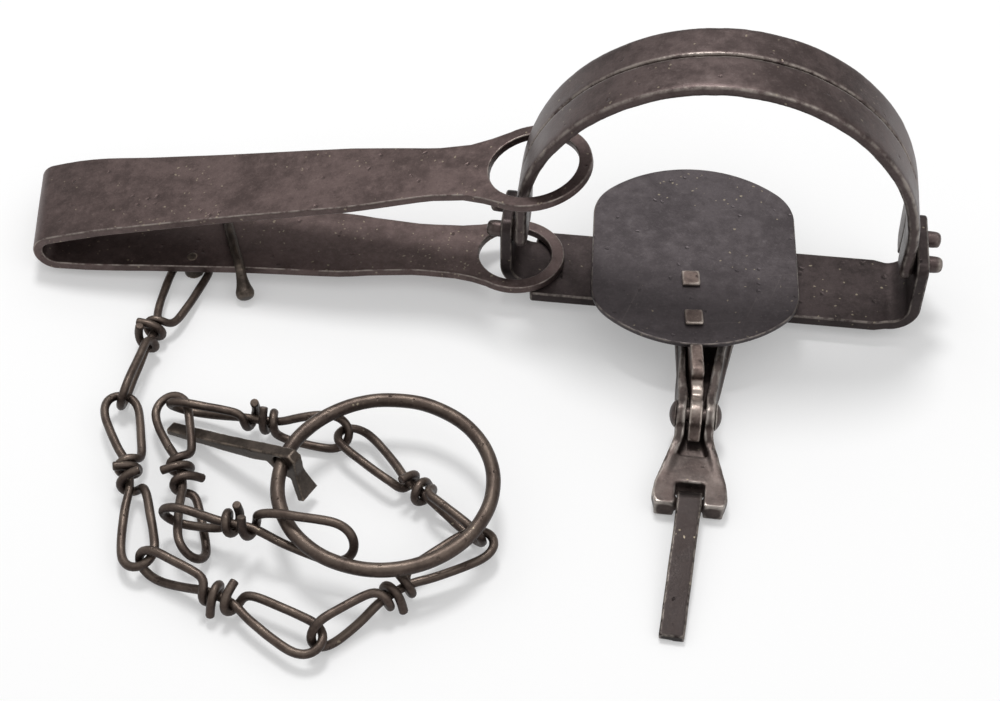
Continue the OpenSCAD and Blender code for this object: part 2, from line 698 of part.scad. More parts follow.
base_plate();
cross_arm();
arm_rivets();
front_jaw();
back_jaw();
lower_leaf();
upper_leaf();
pan_plate();
pan_lever();
pivot_rivet();
dog();
chain_clip();
chain_stud();
link_1();
link_2();
link_3();
link_4();
link_5();
link_6();
link_7();
link_8();
anchor_ring();
anchor_strap();
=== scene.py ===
import math

import bmesh
import bpy
import numpy as np
from mathutils import Matrix, Vector, noise


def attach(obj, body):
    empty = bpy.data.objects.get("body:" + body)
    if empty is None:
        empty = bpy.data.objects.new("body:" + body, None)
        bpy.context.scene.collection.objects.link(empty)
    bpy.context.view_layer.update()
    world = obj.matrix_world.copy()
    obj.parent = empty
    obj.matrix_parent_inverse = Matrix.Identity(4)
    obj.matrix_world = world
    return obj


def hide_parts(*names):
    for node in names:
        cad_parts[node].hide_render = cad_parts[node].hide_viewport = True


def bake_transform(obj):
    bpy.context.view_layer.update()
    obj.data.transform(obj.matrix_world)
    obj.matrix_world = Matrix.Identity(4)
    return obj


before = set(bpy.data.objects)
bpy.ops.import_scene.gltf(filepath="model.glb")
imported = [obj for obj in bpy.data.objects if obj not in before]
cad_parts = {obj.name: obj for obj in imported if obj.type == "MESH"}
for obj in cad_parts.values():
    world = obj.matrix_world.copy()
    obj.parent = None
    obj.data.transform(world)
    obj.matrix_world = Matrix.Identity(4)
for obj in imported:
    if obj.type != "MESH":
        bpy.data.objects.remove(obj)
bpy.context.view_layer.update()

# Lengths below are millimetres, as on a maker's drawing, and mm() turns them into the frame's metres
MM = 0.001
UP = Vector((0, 0, 1))

# Mesh limits
SHARP = math.radians(38)
FLAT = math.radians(0.6)
MERGE = 0.01 * MM
SEAM_MERGE = 0.05 * MM
ROUND_STEPS = 3
ROUND_PROFILE = 0.5
NORMAL_WEIGHT = 60

# Unevenness of the metal: the seed it is drawn from, so that each run gives the same shapes
NOISE_SEED = 1
noise.seed_set(NOISE_SEED)

# Depth and size of its waves
SPRING_WAVES = (0.12, 14)
FORGED_WAVES = (0.1, 8)
WIRE_WAVES = (0.1, 5)
RING_WAVES = (0.14, 9)
CLIP_WAVES = (0.16, 4)

# Base plate: its edges, the pin bores in its uprights and the rivets through it
BASE_EDGE = 0.7
UPRIGHT_X = 50
PIN_Y = 4.7
PIN_Z = 22.2
PIN_ROOM = 3.2
RIVET_X = -1
RIVET_Y = 5
RIVET_OUT = 6

# Forged pieces: strength of relaxing, and the heights of a rubbed ridge in mesh grains
RELAX = 0.5
RIDGE_LOW = 0.015
RIDGE_HIGH = 0.075
RIDGE_ROUNDS = 6

# Small forged pieces: node, finish, slot, body, mesh grain and rounds of relaxing
FORGED = [
    ("pan_lever", "lever", "trap_steel", "pan", 0.25, 10),
    ("dog", "dog", "trap_steel", "dog", 0.25, 6),
    ("pivot_rivet", "trigger", "trap_steel", "frame", 0.25, 4),
    ("arm_rivets", "base", "trap_steel", "frame", 0.3, 6),
    ("chain_stud", "clip", "wire_steel", "frame", 0.3, 6),
]

# Jaws: the seam between them stays crisp, and the front one widens towards its crown
JAW_GRAIN = 0.4
JAW_ROUNDS = 7
JAW_WORN_ROUNDS = 30
SEAM_CRISP = 2.6
CROWN_Z = 45.0
CROWN_RUN = 25.0
CROWN_GAIN = 0.12

# Cross-arm: the ramp in its notch as y and z, and its left cheek, which stands straighter than the right one
ARM_GRAIN = 0.36
ARM_ROUNDS = 6
RAMP_SIDE = [(-69.7, 4.2), (-71.6, 2.0), (-71.6, 1.2), (-69.7, 1.2)]
RAMP_X = -4.6
RAMP_W = 7.2
CHEEK_X = -4.0
CHEEK_BACK = -13.5
CHEEK_NECK = -46.0
CHEEK_RUN = 14.0
CHEEK_TUCK = 0.42

# Spring strip
SPRING_T = 2.5
EYE_T = 2.2
SPRING_EDGE = 0.95
FOLD_HALF = 14.4
NECK_HALF = 9.0
FOLD_X = 178.0
FOLD_R = 4.6
FOLD_SKEW = math.tan(math.radians(11))
FOLD_RISE = math.radians(20)
UPPER_RISE = math.radians(11.2)
LOWER_FALL = math.radians(2.1)
LOWER_Z = 7.8
LOWER_FLAT_X = -64.0
BOW_R = 120
UPPER_EYE = {"x": -47.3, "hole": 11.5, "rim": 15.1}
LOWER_EYE = {"x": -52.0, "hole": 9.7, "rim": 13.3}
EYE_JOIN = math.radians(120)

# Taper of the strip: way from the fold and loss of half width, then way from the eye and gain on the neck
FOLD_TAPER = [(8, 0), (32, 1.4), (54, 2.4), (82, 3.1)]
NECK_TAPER = [(42, 1.6), (26, 0)]
NECK_FLARE = 0.4
NECK_REACH = 1.15
WAIST_SHARE = 0.45
WAIST_DRAW = 0.975

# Mesh of the strip
SPRING_ACROSS = 12
STATION = 4.0
FOLD_STEPS = 16
EYE_STEPS = 40

# Pan
PAN_R = 33.0
PAN_HALF = 27.0
PAN_CORNER = 14.0
PAN_T = 1.5
PAN_TOP = 14.8
PAN_X = -4.3
PAN_YAW = math.radians(3.5)
PAN_EDGE = 0.45
PAN_CORNER_STEPS = 14
PAN_ARC_STEPS = 18

# Wire of the links and its knots
WIRE_R = 1.1
WIRE_SIDES = 12
WIRE_GAP = 0.7
WIRE_TAIL = 4.0
KNOT_R = 3.1
KNOT_PITCH = 2.75
KNOT_STEPS = 7
TURNS_A = 1.25
TURNS_B = 0.75
END_ANGLE = math.radians(60)
END_ROUND = 0.3
END_STEPS = 2
FIRST_OUT = Vector((0.2, 0.3, 1))
CUT = 0.25
CUT_ROUNDS = 3
EASE = 0.5
EASE_ROUNDS = 6

# Loops of the links: half widths, reach past the hang points, and how the wire leaves its knot and returns
LOOP_HALF = 4.3
STUD_HALF = 5.0
RING_HALF = 5.2
REACH = 2.0
STEEP = 0.4
FLAT_REACH = REACH + 1
LOOP_STEPS = 5
LOOP_STRAIGHT = 3
LEAVE_RUN = 2.6
LEAVE_SHARE = 0.9
RETURN_RUN = 4
RETURN_SHARE = 0.45
CORE_RUN = 0.6

# Anchor ring, and how far the last link's hang point and knot lie above and below it
RING_WIRE = 1.75
RING_R = 25.7
RING_Z = 12.5
RING_C = (-73.4, -84.2, RING_Z)
RING_LIFT = 0.7
KNOT_DROP = 1.3
RING_SIDES = 20
RING_STEPS = 180

# Anchor strap: its side view runs over the ring to the tail, back under it, round the hole and along the bar
STRAP_AT = (-98.85, -80.62, RING_Z)
STRAP_TURN = math.radians(155)
STRAP_W = 3.2
STRAP_FLARE = 1.9
STRAP_TAIL_Z = -5
STRAP_OVER = [(-2.8, 4.5), (-4.5, 3.2), (-4.9, -1.5), (-7.3, -8.3), (-5.5, -9.2)]
STRAP_UNDER = [(-2.8, -3.8), (1.4, -4.0), (4.2, -1.8)]
STRAP_BAR = [(4.22, -1.77), (8.0, -3.6), (36.6, -12.1), (36.6, -10.0), (22.0, -5.0)]
STRAP_HOLE = 2.2
STRAP_HOLE_STEPS = 24
STRAP_HOLE_FROM = -38
STRAP_HOLE_SWEEP = -358
STRAP_GRAIN = 0.25
STRAP_ROUNDS = 8

# Chain clip: its route as y and z from the foot round the lower leaf, with the bar's radius at each place
CLIP_AT = (-130.4, 0.0, 5.365)
CLIP_TURN = math.radians(23)
CLIP_GRAIN = 0.25
CLIP_ROUNDS = 3
CLIP_ROUTE = [
    ((-20.6, -3.3), 0.9),
    ((-20.4, -3.2), 2.2),
    ((-19.0, -2.7), 2.7),
    ((-17.6, -1.4), 2.0),
    ((-16.4, 0.9), 1.5),
    ((-14.6, 3.0), 1.45),
    ((-7.0, 3.25), 1.5),
    ((0.0, 3.2), 1.45),
    ((14.4, 3.0), 1.2),
    ((15.7, 1.6), 1.0),
    ((15.7, -1.2), 0.8),
    ((14.2, -2.6), 0.8),
    ((0.0, -2.6), 0.8),
    ((-15.0, -2.6), 0.8),
]

# Camera of the photograph
LENS = 66.63
SENSOR = 36.0
NEAREST = 10.0
CAMERA_AT = (-13.5, -352.9, 359.4)
CAMERA_TO = (-52.44, -30.53, 3.2)

# Sky: heights between which its strength rises, and the strengths
SKY_LOW = -0.05
SKY_HIGH = 0.8
SKY_DIM = 0.18
SKY_BRIGHT = 0.68

# Lamps, in metres and watts
KEY_AT = (-0.15, 0.36, 1.15)
KEY_SIZE = 0.34
KEY_POWER = 6.6
FILL_AT = (0.6, -0.5, 0.9)
FILL_SIZE = 0.8
FILL_POWER = 1.2

# Floor, in metres: the share of it that shows plain white, and the tint and roughness of the rest
FLOOR_HALF = 20.0
FLOOR_WHITE = 0.3
FLOOR_TINT = 0.95
FLOOR_ROUGH = 0.9

# Noises in the metal: scale, detail, roughness and distortion, some with the scale left to the finish
CLOUD_NOISE = (6.0, 0.66, 0.3)
MOTTLE_NOISE = (7.0, 0.72)
GRAIN_NOISE = (1300.0, 4.0, 0.75)
CROWD_NOISE = (38.0, 4.0, 0.65)
LINE_NOISE = (1.0, 1.0, 0.5)
PATCH_NOISE = (45.0, 3.0, 0.6)
BREAK_NOISE = (4.0, 0.65)
TOP_PATCH_NOISE = (150.0, 4.0, 0.6)
WOBBLE_SCALE = 900.0
WOBBLE_DETAIL = 2.0
WOBBLE = 1.2
SPECK_SCALE = 900.0

# Where a noise, a mark or a slope starts and ends to count, and how much it then gives
SKIN_SPAN = (0.4, 0.6)
PALE_MOTTLE = (0.55, 0.78, 0.0, 0.6)
DEEP_MOTTLE = (0.45, 0.26, 0.0, 0.5)
PALE_GRAIN = (0.52, 0.78, 0.0, 0.6)
DEEP_GRAIN = (0.48, 0.26, 0.0, 0.6)
PIT_SPAN = (0.34, 0.1)
SPECK_SPAN = (0.34, 0.16)
CROWD_SPAN = (0.46, 0.68, 0.01)
LINE_SPAN = (0.68, 0.76)
PATCH_SPAN = (0.45, 0.62)
BREAK_SPAN = (0.34, 0.62)
MARK_SPAN = (0.15, 0.9)
# Top mark, partly rub and partly painted highlight: its patches, and the facing over which it comes in
TOP_PATCH_SPAN = (0.35, 0.65, 0.25, 1.0)
TOP_MARK_SPAN = (0.35, 0.95, 0.0)
# Painted shade on sides and undersides: the facing from fully darkened to untouched
PAINTED_SIDE_SHADE_SPAN = (0.0, 0.55)
ROUGH_SPAN = (0.1, 0.45)

# Scratches: turn of each set and how far it is drawn out along x, y and z
SCRATCH_SETS = ((0.0, (1400.0, 26.0, 300.0)), (1.1, (1100.0, 40.0, 300.0)))

# Strengths of the marks
GRAIN_HEIGHT = 0.5
PIT_DEPTH = 2.2
SCRATCH_DEPTH = 0.5
SPECK_SHARE = 0.55
RUB_POLISH = 0.12
SMOOTHER = 0.08
ROUGHER = 0.1
BUMP_HEIGHT = 0.2

# Sockets of the node that mixes colours
MIX_SHARE = 0
MIX_FIRST = 6
MIX_SECOND = 7
MIX_RESULT = 2


def mm(x, y, z):
    return Vector((x, y, z)) * MM


def colour(red, green, blue):
    return (red, green, blue, 1.0)


WHITE = colour(1, 1, 1)
SPECK = colour(0.42, 0.36, 0.26)


# Node helpers
def add(tree, kind, inputs=None, **settings):
    made = tree.nodes.new(kind)
    for key, value in settings.items():
        setattr(made, key, value)
    for key, value in (inputs or {}).items():
        if isinstance(value, bpy.types.NodeSocket):
            tree.links.new(value, made.inputs[key])
        else:
            made.inputs[key].default_value = value
    return made


def noise_value(tree, where, scale, detail, rough, lift=0.0):
    inputs = {"Vector": where, "Scale": scale, "Detail": detail, "Roughness": rough, "Distortion": lift}
    return add(tree, "ShaderNodeTexNoise", inputs).outputs["Fac"]


def span(tree, value, low, high, to_low=0.0, to_high=1.0):
    inputs = {"Value": value, "From Min": low, "From Max": high, "To Min": to_low, "To Max": to_high}
    return add(tree, "ShaderNodeMapRange", inputs, interpolation_type="SMOOTHSTEP").outputs["Result"]


def blend_colour(tree, share, first, second):
    inputs = {MIX_SHARE: share, MIX_FIRST: first, MIX_SECOND: second}
    return add(tree, "ShaderNodeMix", inputs, data_type="RGBA").outputs[MIX_RESULT]


def sums(tree, kind, first, second):
    return add(tree, "ShaderNodeMath", {0: first, 1: second}, operation=kind).outputs[0]


def object_place(tree):
    return add(tree, "ShaderNodeTexCoord").outputs["Object"]


def new_group(name, takes, gives):
    group = bpy.data.node_groups.new(name, "ShaderNodeTree")
    for socket, kind in takes:
        group.interface.new_socket(socket, in_out="INPUT", socket_type="NodeSocket" + kind)
    for socket, kind in gives:
        group.interface.new_socket(socket, in_out="OUTPUT", socket_type="NodeSocket" + kind)
    return group, group.nodes.new("NodeGroupInput").outputs, group.nodes.new("NodeGroupOutput").inputs


# Brown-black skin of old steel: clouds, mottling and a fine grain
def make_aged_skin():
    takes = [("Deep", "Color"), ("Warm", "Color"), ("Pale", "Color")]
    takes += [("Clouds", "Float"), ("Mottle", "Float")]
    gives = [("Color", "Color"), ("Rough", "Float"), ("Height", "Float")]
    group, come, go = new_group("aged_skin", takes, gives)
    where = object_place(group)
    clouds = noise_value(group, where, come["Clouds"], *CLOUD_NOISE)
    mottle = noise_value(group, where, come["Mottle"], *MOTTLE_NOISE)
    grain = noise_value(group, where, *GRAIN_NOISE)
    mean = sums(group, "MULTIPLY", sums(group, "ADD", clouds, mottle), 0.5)
    tint = blend_colour(group, span(group, mean, *SKIN_SPAN), come["Deep"], come["Warm"])
    tint = blend_colour(group, span(group, mottle, *PALE_MOTTLE), tint, come["Pale"])
    tint = blend_colour(group, span(group, mottle, *DEEP_MOTTLE), tint, come["Deep"])
    tint = blend_colour(group, span(group, grain, *PALE_GRAIN), tint, come["Pale"])
    tint = blend_colour(group, span(group, grain, *DEEP_GRAIN), tint, come["Deep"])
    group.links.new(tint, go["Color"])
    group.links.new(sums(group, "MULTIPLY", mottle, clouds), go["Rough"])
    fine = sums(group, "MULTIPLY", grain, GRAIN_HEIGHT)
    group.links.new(sums(group, "ADD", mottle, fine), go["Height"])
    return group


# Cells of a scattered mark: the distance to the middle of each, and a chance drawn for it
def scattered(tree, where, scale):
    cells = add(tree, "ShaderNodeTexVoronoi", {"Vector": where, "Scale": scale, "Randomness": 1.0})
    chance = add(tree, "ShaderNodeSeparateColor", {"Color": cells.outputs["Color"]})
    return cells.outputs["Distance"], chance.outputs["Red"]


# Rust pits, scattered singly, and pale specks in crowds
def make_pits():
    takes = [("Size", "Float"), ("Share", "Float"), ("Specks", "Float")]
    gives = [("Pits", "Float"), ("Specks", "Float")]
    group, come, go = new_group("pits", takes, gives)
    where = object_place(group)
    inputs = {"Vector": where, "Scale": WOBBLE_SCALE, "Detail": WOBBLE_DETAIL}
    wobble = add(group, "ShaderNodeTexNoise", inputs).outputs["Color"]
    inputs = {0: wobble, 1: mm(WOBBLE, WOBBLE, WOBBLE), 2: where}
    shifted = add(group, "ShaderNodeVectorMath", inputs, operation="MULTIPLY_ADD").outputs[0]
    near, chance = scattered(group, shifted, come["Size"])
    chosen = sums(group, "LESS_THAN", chance, come["Share"])
    group.links.new(sums(group, "MULTIPLY", span(group, near, *PIT_SPAN), chosen), go["Pits"])
    near, chance = scattered(group, shifted, SPECK_SCALE)
    crowd = span(group, noise_value(group, where, *CROWD_NOISE), *CROWD_SPAN, come["Specks"])
    chosen = sums(group, "LESS_THAN", chance, crowd)
    group.links.new(sums(group, "MULTIPLY", span(group, near, *SPECK_SPAN), chosen), go["Specks"])
    return group


# Fine scratches in two directions, broken up along their length
def make_scratches():
    takes = [("Turn", "Float"), ("Share", "Float")]
    group, come, go = new_group("scratches", takes, [("Scratches", "Float")])
    where = object_place(group)
    sets = []
    for turn, squeeze in SCRATCH_SETS:
        angle = sums(group, "ADD", come["Turn"], turn)
        spun = add(group, "ShaderNodeVectorRotate", {"Vector": where, "Angle": angle}, rotation_type="Z_AXIS")
        inputs = {0: spun.outputs[0], 1: squeeze}
        drawn_out = add(group, "ShaderNodeVectorMath", inputs, operation="MULTIPLY").outputs[0]
        sets.append(span(group, noise_value(group, drawn_out, *LINE_NOISE), *LINE_SPAN))
    patches = span(group, noise_value(group, where, *PATCH_NOISE), *PATCH_SPAN)
    broken = sums(group, "MULTIPLY", sums(group, "MAXIMUM", *sets), patches)
    group.links.new(sums(group, "MULTIPLY", broken, come["Share"]), go["Scratches"])
    return group


# Bright metal along rubbed edges, read from the mark that the pieces carry there
def make_edge_wear():
    takes = [("Share", "Float"), ("Breaks", "Float")]
    group, come, go = new_group("edge_wear", takes, [("Mask", "Float")])
    mark = add(group, "ShaderNodeAttribute", attribute_name="worn_edge").outputs["Fac"]
    breaks = span(group, noise_value(group, object_place(group), come["Breaks"], *BREAK_NOISE), *BREAK_SPAN)
    mask = sums(group, "MULTIPLY", span(group, mark, *MARK_SPAN), breaks)
    group.links.new(sums(group, "MULTIPLY", mask, come["Share"]), go["Mask"])
    return group


GROUPS = {
    "skin": make_aged_skin(),
    "pits": make_pits(),
    "scratches": make_scratches(),
    "edges": make_edge_wear(),
}

# What all finishes share unless they say otherwise
LOOK = {
    "clouds": 55.0,
    "mottle": 260.0,
    "pit_size": 420.0,
    "pit_share": 0.05,
    "turn": 0.3,
    "scratches": 0.0,
    "specks": 0.12,
    "edge_share": 0.7,
    "edge_breaks": 330.0,
    # Top mark, partly rub and partly painted highlight, and the height below which it shows
    "top_wear_and_highlight": 0.0,
    "top_mark_below": 100.0,
    # Strength of the painted shade on sides and undersides
    "painted_side_shade": 0.35,
    "rough": 0.44,
    "metal": 0.72,
    "bump": 0.35,
}

BARE = (0.42, 0.37, 0.33)

# Finishes: deep, warm, pale and bare tint, and what differs from the shared look
FINISHES = {
    "jaw": ((0.075, 0.053, 0.05), (0.132, 0.097, 0.092), (0.18, 0.145, 0.137), BARE, {}),
    "base": (
        (0.032, 0.023, 0.022),
        (0.062, 0.046, 0.045),
        (0.105, 0.081, 0.078),
        BARE,
        {"pit_share": 0.16, "pit_size": 360.0, "edge_share": 0.5},
    ),
    "trigger": (
        (0.045, 0.031, 0.028),
        (0.095, 0.068, 0.061),
        (0.17, 0.137, 0.12),
        (0.5, 0.45, 0.41),
        {"edge_share": 1.0, "edge_breaks": 120.0, "clouds": 90.0, "top_wear_and_highlight": 0.12},
    ),
    # The lever's tints are painted lighter than the other trap steel, a painted light that offsets the pan's
    # shadow over it
    "lever": (
        (0.105, 0.076, 0.066),
        (0.24, 0.18, 0.157),
        (0.37, 0.3, 0.264),
        (0.6, 0.52, 0.46),
        {
            "edge_share": 1.0,
            "edge_breaks": 120.0,
            "clouds": 110.0,
            "top_wear_and_highlight": 0.55,
            "top_mark_below": PAN_TOP - PAN_T,
        },
    ),
    "dog": (
        (0.017, 0.012, 0.011),
        (0.031, 0.022, 0.02),
        (0.06, 0.046, 0.042),
        (0.36, 0.315, 0.28),
        {"clouds": 80.0},
    ),
    "spring": (
        (0.082, 0.057, 0.053),
        (0.138, 0.098, 0.092),
        (0.196, 0.147, 0.135),
        BARE,
        {"specks": 0.4, "painted_side_shade": 0.12},
    ),
    "pan": (
        (0.066, 0.055, 0.058),
        (0.098, 0.083, 0.087),
        (0.145, 0.127, 0.13),
        BARE,
        {"scratches": 0.07, "edge_share": 0.5, "pit_share": 0.07, "pit_size": 520.0},
    ),
    "clip": (
        (0.05, 0.038, 0.03),
        (0.1, 0.078, 0.064),
        (0.17, 0.135, 0.11),
        (0.3, 0.24, 0.19),
        {"clouds": 110.0, "pit_share": 0.12, "edge_share": 0.8},
    ),
    "wire": (
        (0.045, 0.03, 0.025),
        (0.085, 0.06, 0.049),
        (0.14, 0.105, 0.085),
        (0.26, 0.205, 0.165),
        {"top_wear_and_highlight": 0.45, "pit_share": 0.14, "pit_size": 700.0, "mottle": 420.0, "bump": 0.5},
    ),
}


def place_group(tree, name, inputs):
    made = tree.nodes.new("ShaderNodeGroup")
    made.node_tree = GROUPS[name]
    for key, value in inputs.items():
        made.inputs[key].default_value = value
    return made.outputs


# Upward faces below a height turn bright in patches: partly rubbed metal, partly a painted highlight on the
# tops where the light falls
def tops_with_wear_and_highlight(tree, place, facing, look):
    patches = span(tree, noise_value(tree, place["Object"], *TOP_PATCH_NOISE), *TOP_PATCH_SPAN)
    tops = sums(tree, "MULTIPLY", span(tree, facing, *TOP_MARK_SPAN, look["top_wear_and_highlight"]), patches)
    height = add(tree, "ShaderNodeSeparateXYZ", {0: place["Object"]}).outputs["Z"]
    return sums(tree, "MULTIPLY", tops, sums(tree, "LESS_THAN", height, look["top_mark_below"] * MM))


# One worn steel: its own tints, pits, scratches and edge wear over the shared skin, with painted shade
# darkening its sides and undersides
def worn_steel(name, deep, warm, pale, bare, changes):
    look = LOOK | changes
    material = bpy.data.materials.new(name)
    material.use_nodes = True
    tree = material.node_tree
    shader = tree.nodes["Principled BSDF"]
    inputs = {"Deep": colour(*deep), "Warm": colour(*warm), "Pale": colour(*pale)}
    skin = place_group(tree, "skin", inputs | {"Clouds": look["clouds"], "Mottle": look["mottle"]})
    inputs = {"Size": look["pit_size"], "Share": look["pit_share"], "Specks": look["specks"]}
    pits = place_group(tree, "pits", inputs)
    lines = place_group(tree, "scratches", {"Turn": look["turn"], "Share": look["scratches"]})["Scratches"]
    edges = place_group(tree, "edges", {"Share": look["edge_share"], "Breaks": look["edge_breaks"]})["Mask"]
    wear_and_highlight = sums(tree, "MAXIMUM", edges, lines)
    place = add(tree, "ShaderNodeTexCoord").outputs
    facing = add(tree, "ShaderNodeSeparateXYZ", {0: place["Normal"]}).outputs["Z"]
    # Painted highlight mixed with real rub: upward faces turn towards the bare tint
    if look["top_wear_and_highlight"] > 0:
        wear_and_highlight = sums(tree, "MAXIMUM", wear_and_highlight, tops_with_wear_and_highlight(tree, place, facing, look))
    tint = blend_colour(tree, pits["Pits"], skin["Color"], colour(*deep))
    tint = blend_colour(tree, wear_and_highlight, tint, colour(*bare))
    tint = blend_colour(tree, sums(tree, "MULTIPLY", pits["Specks"], SPECK_SHARE), tint, SPECK)
    # Painted shade: faces turned sideways or downwards get a darker tint, as if in shadow
    painted_side_shade = span(tree, facing, *PAINTED_SIDE_SHADE_SPAN, 1.0 - look["painted_side_shade"])
    tint = add(tree, "ShaderNodeVectorMath", {0: tint, "Scale": painted_side_shade}, operation="SCALE").outputs[0]
    tree.links.new(tint, shader.inputs["Base Color"])
    rough = span(tree, skin["Rough"], *ROUGH_SPAN, look["rough"] - SMOOTHER, look["rough"] + ROUGHER)
    rough = sums(tree, "SUBTRACT", rough, sums(tree, "MULTIPLY", wear_and_highlight, RUB_POLISH))
    tree.links.new(rough, shader.inputs["Roughness"])
    shader.inputs["Metallic"].default_value = look["metal"]
    height = sums(tree, "SUBTRACT", skin["Height"], sums(tree, "MULTIPLY", pits["Pits"], PIT_DEPTH))
    height = sums(tree, "SUBTRACT", height, sums(tree, "MULTIPLY", lines, SCRATCH_DEPTH))
    inputs = {"Strength": look["bump"], "Distance": BUMP_HEIGHT * MM, "Height": height}
    tree.links.new(add(tree, "ShaderNodeBump", inputs).outputs["Normal"], shader.inputs["Normal"])
    return material


MATERIALS = {name: worn_steel(f"{name}_steel", *finish) for name, finish in FINISHES.items()}


# Shape helpers
def cad_copy(node):
    bm = bmesh.new()
    bm.from_mesh(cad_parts[node].data)
    bmesh.ops.remove_doubles(bm, verts=bm.verts, dist=MERGE)
    bmesh.ops.dissolve_limit(bm, angle_limit=FLAT, verts=bm.verts, edges=bm.edges)
    return bm


def bevel(bm, edges, width, steps):
    return bmesh.ops.bevel(
        bm,
        geom=edges,
        offset=width * MM,
        offset_type="OFFSET",
        segments=steps,
        profile=ROUND_PROFILE,
        affect="EDGES",
        clamp_overlap=True,
        material=-1,
    )


# Rounds the outer edges and marks the middle of each rounding, where the metal is rubbed
def round_edges(bm, width, skip=None):
    bm.normal_update()
    edges = [e for e in bm.edges if e.is_manifold and e.calc_face_angle_signed(0) > SHARP]
    if skip:
        edges = [e for e in edges if not any(skip(v.co / MM) for v in e.verts)]
    faces = set(bevel(bm, edges, width, ROUND_STEPS)["faces"])
    worn = bm.verts.layers.float.new("worn_edge")
    for vert in bm.verts:
        if vert.link_faces and all(face in faces for face in vert.link_faces):
            vert[worn] = 1.0


# Uneven surface of worn, hand-finished metal
def uneven(bm, depth, size):
    for vert in bm.verts:
        vert.co += noise.noise_vector(vert.co / (size * MM)) * depth * MM


def show(name, bm, material, slot, body, *nodes):
    mesh = bpy.data.meshes.new(name)
    bm.to_mesh(mesh)
    bm.free()
    mesh.materials.append(MATERIALS[material])
    mesh.shade_smooth()
    piece = bpy.data.objects.new(name, mesh)
    bpy.context.scene.collection.objects.link(piece)
    even = piece.modifiers.new("even_normals", "WEIGHTED_NORMAL")
    even.weight = NORMAL_WEIGHT
    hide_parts(*nodes)
    if body:
        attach(piece, body)
    return piece


def new_verts(made):
    return [part for part in made["geom"] if isinstance(part, bmesh.types.BMVert)]


def edges_between(verts):
    kept = set(verts)
    return list(dict.fromkeys(e for v in verts for e in v.link_edges if e.other_vert(v) in kept))


# Draws a row of edges on to the next place
def draw_on(bm, edges):
    verts = new_verts(bmesh.ops.extrude_edge_only(bm, edges=edges))
    return verts, edges_between(verts)


# Thickens a flat face and gives the points of its far side
def thicken(bm, face, way):
    far = new_verts(bmesh.ops.extrude_face_region(bm, geom=[face]))
    bmesh.ops.translate(bm, verts=far, vec=way)
    return far


def share_of(value, start, run):
    return min(1.0, max(0.0, (value - start) / run))


# Spring strip: both leaves, the fold and the two eyes as one sheet
def eye_row(eye, radius):
    angles = [EYE_JOIN + (2 * math.pi - 2 * EYE_JOIN) * k / SPRING_ACROSS for k in range(SPRING_ACROSS + 1)]
    return [(eye["x"] + radius * math.cos(a), radius * math.sin(a), 0) for a in angles]


def straight_row(x, half, skew, z=0):
    across_strip = [half * (1 - 2 * k / SPRING_ACROSS) for k in range(SPRING_ACROSS + 1)]
    return [(x - skew * y, y, z) for y in across_strip]


def mixed_row(first, second, share):
    return [tuple(a + (b - a) * share for a, b in zip(p, q)) for p, q in zip(first, second)]


def neck_x(eye):
    return eye["x"] - eye["rim"] * NECK_REACH


def half_width(x, eye):
    known = [(run - FOLD_X, FOLD_HALF - loss) for run, loss in FOLD_TAPER]
    known += [(eye["x"] - run, NECK_HALF + gain) for run, gain in NECK_TAPER]
    known.append((neck_x(eye), NECK_HALF + NECK_FLARE))
    if x <= known[0][0]:
        return FOLD_HALF
    for (x0, w0), (x1, w1) in zip(known, known[1:]):
        if x <= x1:
            return w0 + (w1 - w0) * (x - x0) / (x1 - x0)
    return known[-1][1]


def eye_rows(eye):
    hole = eye_row(eye, eye["hole"])
    outer = eye_row(eye, eye["rim"])
    neck = straight_row(neck_x(eye), NECK_HALF + NECK_FLARE, 0)
    waist = [(x, y * WAIST_DRAW, z) for x, y, z in mixed_row(outer, neck, WAIST_SHARE)]
    return [hole, outer, waist, neck]


# Side view of the strip: the end of the lower leaf, the middle of the fold, the middle and ends of the bow
def spring_line():
    lower_end = (-FOLD_X, LOWER_Z - (FOLD_X + LOWER_FLAT_X) * math.tan(LOWER_FALL))
    fold = (lower_end[0] - FOLD_R * math.sin(LOWER_FALL), lower_end[1] + FOLD_R * math.cos(LOWER_FALL))
    bow_start = (fold[0] - FOLD_R * math.sin(FOLD_RISE), fold[1] + FOLD_R * math.cos(FOLD_RISE))
    bow = (bow_start[0] + BOW_R * math.sin(FOLD_RISE), bow_start[1] - BOW_R * math.cos(FOLD_RISE))
    bow_end = (bow[0] - BOW_R * math.sin(UPPER_RISE), bow[1] + BOW_R * math.cos(UPPER_RISE))
    return {"lower_end": lower_end, "fold": fold, "bow": bow, "bow_start": bow_start, "bow_end": bow_end}


SPRING_LINE = spring_line()


def upper_z(x):
    bow = SPRING_LINE["bow"]
    bow_end = SPRING_LINE["bow_end"]
    if x > bow_end[0]:
        return bow_end[1] + (x - bow_end[0]) * math.tan(UPPER_RISE)
    return bow[1] + math.sqrt(BOW_R**2 - (x - bow[0]) ** 2)


def lower_z(x):
    return LOWER_Z - max(0.0, LOWER_FLAT_X - x) * math.tan(LOWER_FALL)


def laid_on(row, height):
    return [(x, y, height(x + FOLD_SKEW * y)) for x, y, _ in row]


def leaf_rows(start, end, eye, height):
    count = round(abs(end - start) / STATION)
    rows = []
    for k in range(1, count):
        x = start + (end - start) * k / count
        skew = FOLD_SKEW * (k / count if end < start else 1 - k / count)
        rows.append(laid_on(straight_row(x, half_width(x, eye), skew), height))
    return rows


